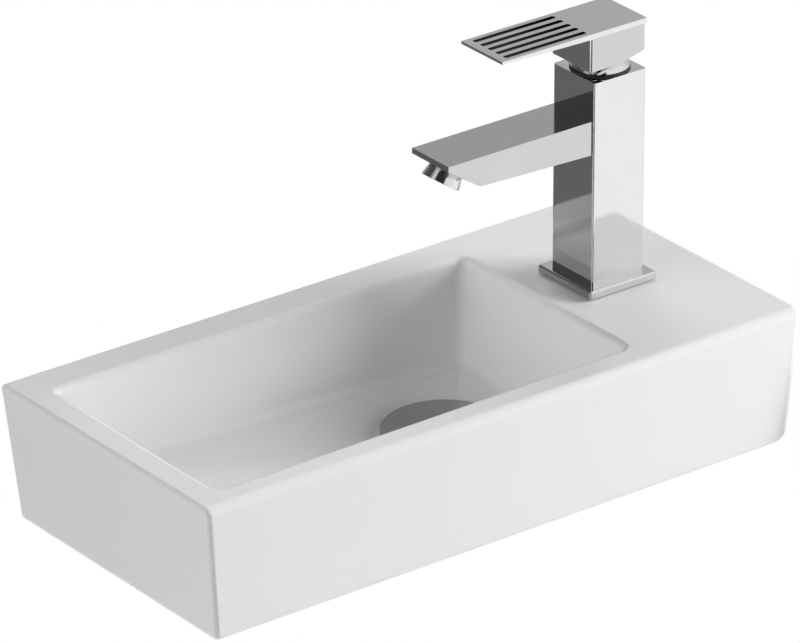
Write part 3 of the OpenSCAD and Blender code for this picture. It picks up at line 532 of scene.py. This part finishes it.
basinShape = {
    # The outside, in millimetres from the middle of the wall bolts
    "left": -185.4, "right": 185.0, "front": -172.8, "top": 56.5, "low": -22.0,
    "endLean": 10.9, "frontLean": 9.0,
    "roundTop": {"left": 3.2, "front": 5.0, "right": 3.8}, "roundBack": 1.6,
    "roundLow": {"left": 4.0, "front": 4.0, "right": 11.0},
    "roundUpright": {"left": 3.2, "right": 4.5},
    # The bowl, where its rim's rounding ends
    "bowlLeft": -165.0, "bowlRight": 86.0, "bowlFront": -150.5, "bowlBack": -22.0,
    "bowlCorner": 5.0, "bowlLean": 4.6, "rimRound": 4.0, "floorRound": 6.0,
    # How far the rim stands out from a height upwards, and the share of it at the right end
    "flare": {"left": 2.4, "front": 5.6, "above": 8.0, "rightShare": 0.65},
    # Heights of the floor, and the dip beside the waste: its reach and where along the floor it starts
    "floorLeft": 11.0, "floorRight": -0.5, "floorWaste": -8.0,
    "dipReach": 44.0, "dipFrom": 0.8, "dishRound": 35.0, "dishCurve": 0.25,
    "waste": (32.0, -77.0), "recessRadius": 32.6, "recessDeep": 2.0, "wasteHole": 22.5,
    "tap": (125.7, -81.3), "tapHole": 17.5, "boltHole": 6.0, "boltGap": 280.0,
    "wall": 8.0, "backWall": 9.0, "deck": 12.0, "hollow": 36.0, "hollowRound": 6.0,
}
bowlRings = {"rim": 8, "wall": 4, "corner": 8, "dish": 16, "lastAngle": 86, "lastRound": 0.2}
roundSteps = {"block": 8, "hollow": 5}
cutPast = {"deck": 5.0, "hole": 3.0, "recess": 6.0, "waste": 20.0, "foot": 1.0, "sliver": 0.01}
nearby = 1.0  # Millimetres within which a place counts as on a face


def meshObject(name, bm):
    bmesh.ops.recalc_face_normals(bm, faces=bm.faces)
    return plainObject(name, bm)


def toMetres(bm):
    bmesh.ops.scale(bm, verts=bm.verts, vec=(mm, mm, mm))


def placeCube(bm, low, high):
    bmesh.ops.create_cube(bm, size=1)
    for vert in bm.verts:
        vert.co = Vector([high[i] if vert.co[i] > 0 else low[i] for i in range(3)])


def placeRing(bm, count, place):
    # A closed ring of vertices, each put where place says
    made = bmesh.ops.create_circle(bm, cap_ends=False, segments=count, radius=1.0)["verts"]
    edges = list({edge for vert in made for edge in vert.link_edges})
    for i, vert in enumerate(made):
        vert.co = place(i)
    return edges


def skinRings(bm, rings):
    # Walls from ring to ring, and a cap on each end
    for lower, upper in zip(rings, rings[1:]):
        bmesh.ops.bridge_loops(bm, edges=lower + upper)
    bmesh.ops.edgeloop_fill(bm, edges=rings[0])
    bmesh.ops.edgeloop_fill(bm, edges=rings[-1])


def cylinderCutter(name, radius, low, high, centre, turned=False, segments=96):
    bm = bmesh.new()
    bmesh.ops.create_cone(bm, cap_ends=True, segments=segments, radius1=radius, radius2=radius,
                          depth=high - low)
    bmesh.ops.translate(bm, verts=bm.verts, vec=(0, 0, (low + high) / 2))
    if turned:
        bmesh.ops.rotate(bm, verts=bm.verts, cent=(0, 0, 0), matrix=Matrix.Rotation(math.radians(90), 3, "X"))
    bmesh.ops.translate(bm, verts=bm.verts, vec=centre)
    toMetres(bm)
    return meshObject(name, bm)


def applyModifiers(piece):
    graph = bpy.context.evaluated_depsgraph_get()
    graph.update()
    mesh = bpy.data.meshes.new_from_object(piece.evaluated_get(graph))
    piece.modifiers.clear()
    piece.data = mesh


def combine(piece, tools, operation):
    for tool in tools:
        step = piece.modifiers.new(tool.name, "BOOLEAN")
        step.operation = operation
        step.solver = "EXACT"
        step.object = tool
    applyModifiers(piece)
    for tool in tools:
        bpy.data.objects.remove(tool)


def outerBlock(shape):
    # A block whose left end and front lean in, each edge with its own rounding
    bm = bmesh.new()
    placeCube(bm, (shape["left"], shape["front"], shape["low"]), (shape["right"], 0, shape["top"]))
    for vert in bm.verts:
        if vert.co.z < 0:
            if vert.co.x < 0:
                vert.co.x += shape["endLean"]
            if vert.co.y < -nearby:
                vert.co.y += shape["frontLean"]
    weights = bm.edges.layers.float.new("bevel_weight_edge")
    widest = shape["roundLow"]["right"]
    halfWay = shape["right"] / 2
    for edge in bm.edges:
        middle = (edge.verts[0].co + edge.verts[1].co) / 2
        upright = abs(edge.verts[0].co.z - edge.verts[1].co.z) > nearby
        side = "left" if middle.x < -halfWay else "right" if middle.x > halfWay else "front"
        if middle.y > -nearby:
            size = shape["roundBack"]
        elif upright:
            size = shape["roundUpright"][side]
        elif middle.z > shape["top"] - nearby:
            size = shape["roundTop"][side]
        else:
            size = shape["roundLow"][side]
        edge[weights] = size / widest
    toMetres(bm)
    block = meshObject("basinBlock", bm)
    rounding = block.modifiers.new("edges", "BEVEL")
    rounding.width = widest * mm
    rounding.segments = roundSteps["block"]
    rounding.limit_method = "WEIGHT"
    applyModifiers(block)
    return block


def roundedOutline(low, high, radius, cornerSteps=10, sideSteps=(26, 16)):
    # Points of a rectangle with rounded corners, always the same number of them
    centres = [(high[0] - radius, high[1] - radius), (low[0] + radius, high[1] - radius),
               (low[0] + radius, low[1] + radius), (high[0] - radius, low[1] + radius)]

    def onArc(centre, degrees):
        angle = math.radians(degrees)
        return Vector((centre[0] + radius * math.cos(angle), centre[1] + radius * math.sin(angle)))

    points = []
    for quarter, centre in enumerate(centres):
        points.extend(onArc(centre, 90 * (quarter + i / cornerSteps)) for i in range(cornerSteps + 1))
        start = points[-1]
        end = onArc(centres[(quarter + 1) % 4], 90 * (quarter + 1))
        steps = sideSteps[quarter % 2]
        points.extend(start.lerp(end, i / steps) for i in range(1, steps))
    return points


def floorHeight(shape, x, y):
    # Height of the floor where it meets the walls: falls to the right, and dips beside the waste
    share = (x - shape["bowlLeft"]) / (shape["bowlRight"] - shape["bowlLeft"])
    height = shape["floorLeft"] + (shape["floorRight"] - shape["floorLeft"]) * share
    aside = min(abs(y - shape["waste"][1]) / shape["dipReach"], 1)
    dip = 0.5 + 0.5 * math.cos(math.pi * aside)
    nearRight = max(0.0, (share - shape["dipFrom"]) / (1 - shape["dipFrom"])) ** 2
    return height + (shape["floorWaste"] - shape["floorRight"]) * dip * nearRight


def flared(shape, point, height):
    # The rim stands further out than the walls' foot at the left and at the front
    flare = shape["flare"]
    rimLow = shape["top"] - shape["rimRound"]
    share = min(max((height - flare["above"]) / (rimLow - flare["above"]), 0), 1)
    aside = (shape["bowlRight"] - point[0]) / (shape["bowlRight"] - shape["bowlLeft"])
    ahead = (shape["bowlBack"] - point[1]) / (shape["bowlBack"] - shape["bowlFront"])
    forward = flare["front"] * share * ahead * (flare["rightShare"] + (1 - flare["rightShare"]) * aside)
    return (point[0] - flare["left"] * share * aside, point[1] - forward, height)


def bowlSolid(name, shape, grow):
    # Space of the bowl, or its shell when grown: rings from above the deck down to the waste
    bm = bmesh.new()
    rings = []
    low = (shape["bowlLeft"] - grow, shape["bowlFront"] - grow)
    high = (shape["bowlRight"] + grow, shape["bowlBack"] + grow)
    corner = shape["bowlCorner"] + grow

    def inset(amount, radius):
        return roundedOutline((low[0] + amount, low[1] + amount),
                              (high[0] - amount, high[1] - amount), radius)

    def addRing(points, heightOf):
        rings.append(placeRing(bm, len(points), lambda k: flared(shape, points[k], heightOf(k))))

    rim = shape["rimRound"]
    rimLow = shape["top"] - rim
    if grow:
        addRing(inset(0, corner), lambda k: rimLow)
    else:
        addRing(inset(-rim, corner + rim), lambda k: shape["top"] + cutPast["deck"])
        for i in range(bowlRings["rim"] + 1):
            angle = math.radians(90 - 90 * i / bowlRings["rim"])
            out = rim * (1 - math.cos(angle))
            height = rimLow + rim * math.sin(angle)
            if i == 0:
                height += 2 * cutPast["sliver"]
            addRing(inset(-out, corner + out), lambda k: height)
    lean, radius = shape["bowlLean"], shape["floorRound"] + grow
    foot = [floorHeight(shape, *point) - grow for point in inset(lean, radius)]
    for i in range(1, bowlRings["wall"] + 1):
        share = i / bowlRings["wall"]
        addRing(inset(lean * share, corner + (radius - corner) * share),
                lambda k: rimLow + (foot[k] + radius - rimLow) * share)
    for i in range(1, bowlRings["corner"] + 1):
        angle = math.radians(min(90 * i / bowlRings["corner"], bowlRings["lastAngle"]))
        addRing(inset(lean + radius * (1 - math.cos(angle)), radius * math.cos(angle)),
                lambda k: foot[k] + radius * (1 - math.sin(angle)))
    edge = inset(lean + radius, bowlRings["lastRound"])
    centre = Vector(shape["waste"])
    bottom = shape["floorWaste"] - grow
    for i in range(1, bowlRings["dish"] + 1):
        share = i / bowlRings["dish"]
        curved = share * share * (3 - 2 * share)
        fall = share + (curved - share) * shape["dishCurve"]

        def towardsWaste(k):
            aim = (edge[k] - centre).normalized() * shape["dishRound"] + centre
            return (*edge[k].lerp(aim, share), foot[k] + (bottom - foot[k]) * fall)

        rings.append(placeRing(bm, len(edge), towardsWaste))
    skinRings(bm, rings)
    toMetres(bm)
    return meshObject(name, bm)


def hollowBox(name, low, high, frontTop, leftTop, radius):
    # A space under the basin whose front and left side lean as the outside does
    bm = bmesh.new()
    placeCube(bm, low, high)
    middle = (low[1] + high[1]) / 2
    for vert in bm.verts:
        if vert.co.z > low[2] + nearby:
            if vert.co.y < middle:
                vert.co.y = frontTop
            if vert.co.x < low[0] + nearby:
                vert.co.x = leftTop
    upper = [edge for edge in bm.edges if max(vert.co.z for vert in edge.verts) > low[2] + nearby]
    bmesh.ops.bevel(bm, geom=upper, offset=radius, offset_type="OFFSET", affect="EDGES",
                    segments=roundSteps["hollow"], profile=0.5, material=-1)
    toMetres(bm)
    return meshObject(name, bm)


def smoothShade(piece, angle=35.0, faceWeight=100):
    piece.data.shade_smooth()
    piece.data.set_sharp_from_angle(angle=math.radians(angle))
    even = piece.modifiers.new("evenNormals", "WEIGHTED_NORMAL")
    even.keep_sharp = True
    even.weight = faceWeight


def frontInside(shape, height):
    span = shape["top"] - shape["low"]
    return shape["front"] + shape["frontLean"] * (shape["top"] - height) / span + shape["wall"]


def leftInside(shape, height):
    span = shape["top"] - shape["low"]
    return shape["left"] + shape["endLean"] * (shape["top"] - height) / span + shape["wall"]


def underside(shape):
    # The hollow below the bowl's shell, with the space under the deck
    sliver = cutPast["sliver"]
    low, back = shape["low"], -shape["backWall"]
    right = shape["right"] - shape["wall"]
    ceiling = low + shape["hollow"]
    deckUnder = shape["top"] - shape["deck"]
    deckLeft = shape["bowlRight"] + shape["wall"]
    front = frontInside(shape, low)
    hollow = hollowBox("hollowSpace", (leftInside(shape, low), front, low - cutPast["foot"]),
                       (right, back, ceiling), frontInside(shape, ceiling), leftInside(shape, ceiling),
                       shape["hollowRound"])
    underDeck = hollowBox("deckSpace", (deckLeft, front, low + cutPast["recess"]),
                          (right - sliver, back - sliver, deckUnder), frontInside(shape, deckUnder),
                          deckLeft, shape["hollowRound"])
    combine(hollow, [underDeck], "UNION")
    combine(hollow, [bowlSolid("bowlShell", shape, shape["wall"])], "DIFFERENCE")
    return hollow


def buildBasin(shape):
    block = outerBlock(shape)
    combine(block, [bowlSolid("bowlSpace", shape, 0.0)], "DIFFERENCE")
    past = cutPast["hole"]
    waste, tap, top = (*shape["waste"], 0), (*shape["tap"], 0), shape["top"]
    seat = shape["floorWaste"] - shape["recessDeep"]
    tools = [
        underside(shape),
        cylinderCutter("tapHole", shape["tapHole"], top - shape["deck"] - past, top + past, tap),
        cylinderCutter("wasteRecess", shape["recessRadius"], seat, seat + cutPast["recess"], waste),
        cylinderCutter("wasteHole", shape["wasteHole"], seat - cutPast["waste"], seat + past, waste),
    ]
    for side in (-1, 1):
        place = (side * shape["boltGap"] / 2, 0, 0)
        tools.append(cylinderCutter("boltHole", shape["boltHole"], -past, shape["backWall"] + past, place,
                                    turned=True))
    combine(block, tools, "DIFFERENCE")
    block.name = "basinGlazed"
    block.data.name = "basinGlazed"
    block.data.materials.clear()
    block.data.materials.append(finishes["ceramic_glaze"])
    smoothShade(block)
    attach(block, "fixed")
    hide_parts("basin")


buildBasin(basinShape)
print("stage 5: basin modelled")

dressed = {
    "tap_column": {"name": "columnPolished", "body": "fixed", "edge": 0.35},
    "base_plate": {"name": "basePlatePolished", "body": "fixed", "edge": 0.25},
    # The spout gets the darker chrome copy, as painted shade
    "spout": {"name": "spoutPolished", "body": "fixed", "edge": 0.4, "finish": "chromePaintedShade"},
    "aerator_housing": {"name": "aeratorPolished", "body": "fixed", "edge": 0.25},
    # The dome gets the chrome with a painted dark band
    "dome_cover": {"name": "domePolished", "body": "fixed", "edge": 0.2, "finish": "domeChromePaintedShade"},
    "handle": {"name": "handlePolished", "body": "lever", "edge": 0.3},
    "waste_body": {"name": "wasteBodyPolished", "body": "fixed", "edge": 0.3},
    "plug_cap": {"name": "plugCapPolished", "body": "plug", "edge": 0.3, "finish": "capChrome"},
}
softening = {"merge": 0.002, "flatWithin": 0.5, "segments": 3, "sharpOver": 35.0}
# Where the lever's slots are, from its tip and its middle, and how upright their walls stand
slotArea = {"from": 2.0, "to": 58.0, "halfWidth": 15.8, "deep": 3.2, "upright": 0.3}
# Which faces are the lever's near side, and how far below its top the painted shade starts
nearSide = {"facing": 0.9, "paintedShadeFrom": 3.0}


def shadeHandle(mesh):
    # Painted shade: the slots' walls get a near-black material, and the near side below its top edge a darker
    # copy of the chrome
    mesh.materials.append(finishes["slotPaintedShade"])
    mesh.materials.append(finishes["chromePaintedShade"])
    low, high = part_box("handle")
    middle = (low[1] + high[1]) / 2
    for face in mesh.polygons:
        fromTip = (face.center.x - low[0]) / mm
        aside = abs(face.center.y - middle) / mm
        down = (high[2] - face.center.z) / mm
        inSlots = slotArea["from"] < fromTip < slotArea["to"] and aside < slotArea["halfWidth"]
        # Painted shade on the slots' walls
        if inSlots and abs(face.normal.z) < slotArea["upright"] and down < slotArea["deep"]:
            face.material_index = 1
        # Painted shade on the lever's near side
        elif face.normal.y < -nearSide["facing"] and down > nearSide["paintedShadeFrom"]:
            face.material_index = 2


def dressNode(node, setup):
    # A merged copy of the CAD node with softened edges
    bm = bmesh.new()
    bm.from_mesh(frame["nodes"][node].data)
    bmesh.ops.remove_doubles(bm, verts=bm.verts, dist=softening["merge"] * mm)
    bmesh.ops.dissolve_limit(bm, angle_limit=math.radians(softening["flatWithin"]), verts=bm.verts,
                             edges=bm.edges)
    piece = meshObject(setup["name"], bm)
    piece.data.materials.append(finishes[setup.get("finish", slotOf[node])])
    if node == "handle":
        shadeHandle(piece.data)
    rounding = piece.modifiers.new("edges", "BEVEL")
    rounding.width = setup["edge"] * mm
    rounding.segments = softening["segments"]
    rounding.limit_method = "ANGLE"
    rounding.angle_limit = math.radians(softening["sharpOver"])
    smoothShade(piece)
    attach(piece, setup["body"])
    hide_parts(node)


for nodeName, nodeSetup in dressed.items():
    dressNode(nodeName, nodeSetup)
print("stage 6: metal pieces dressed")
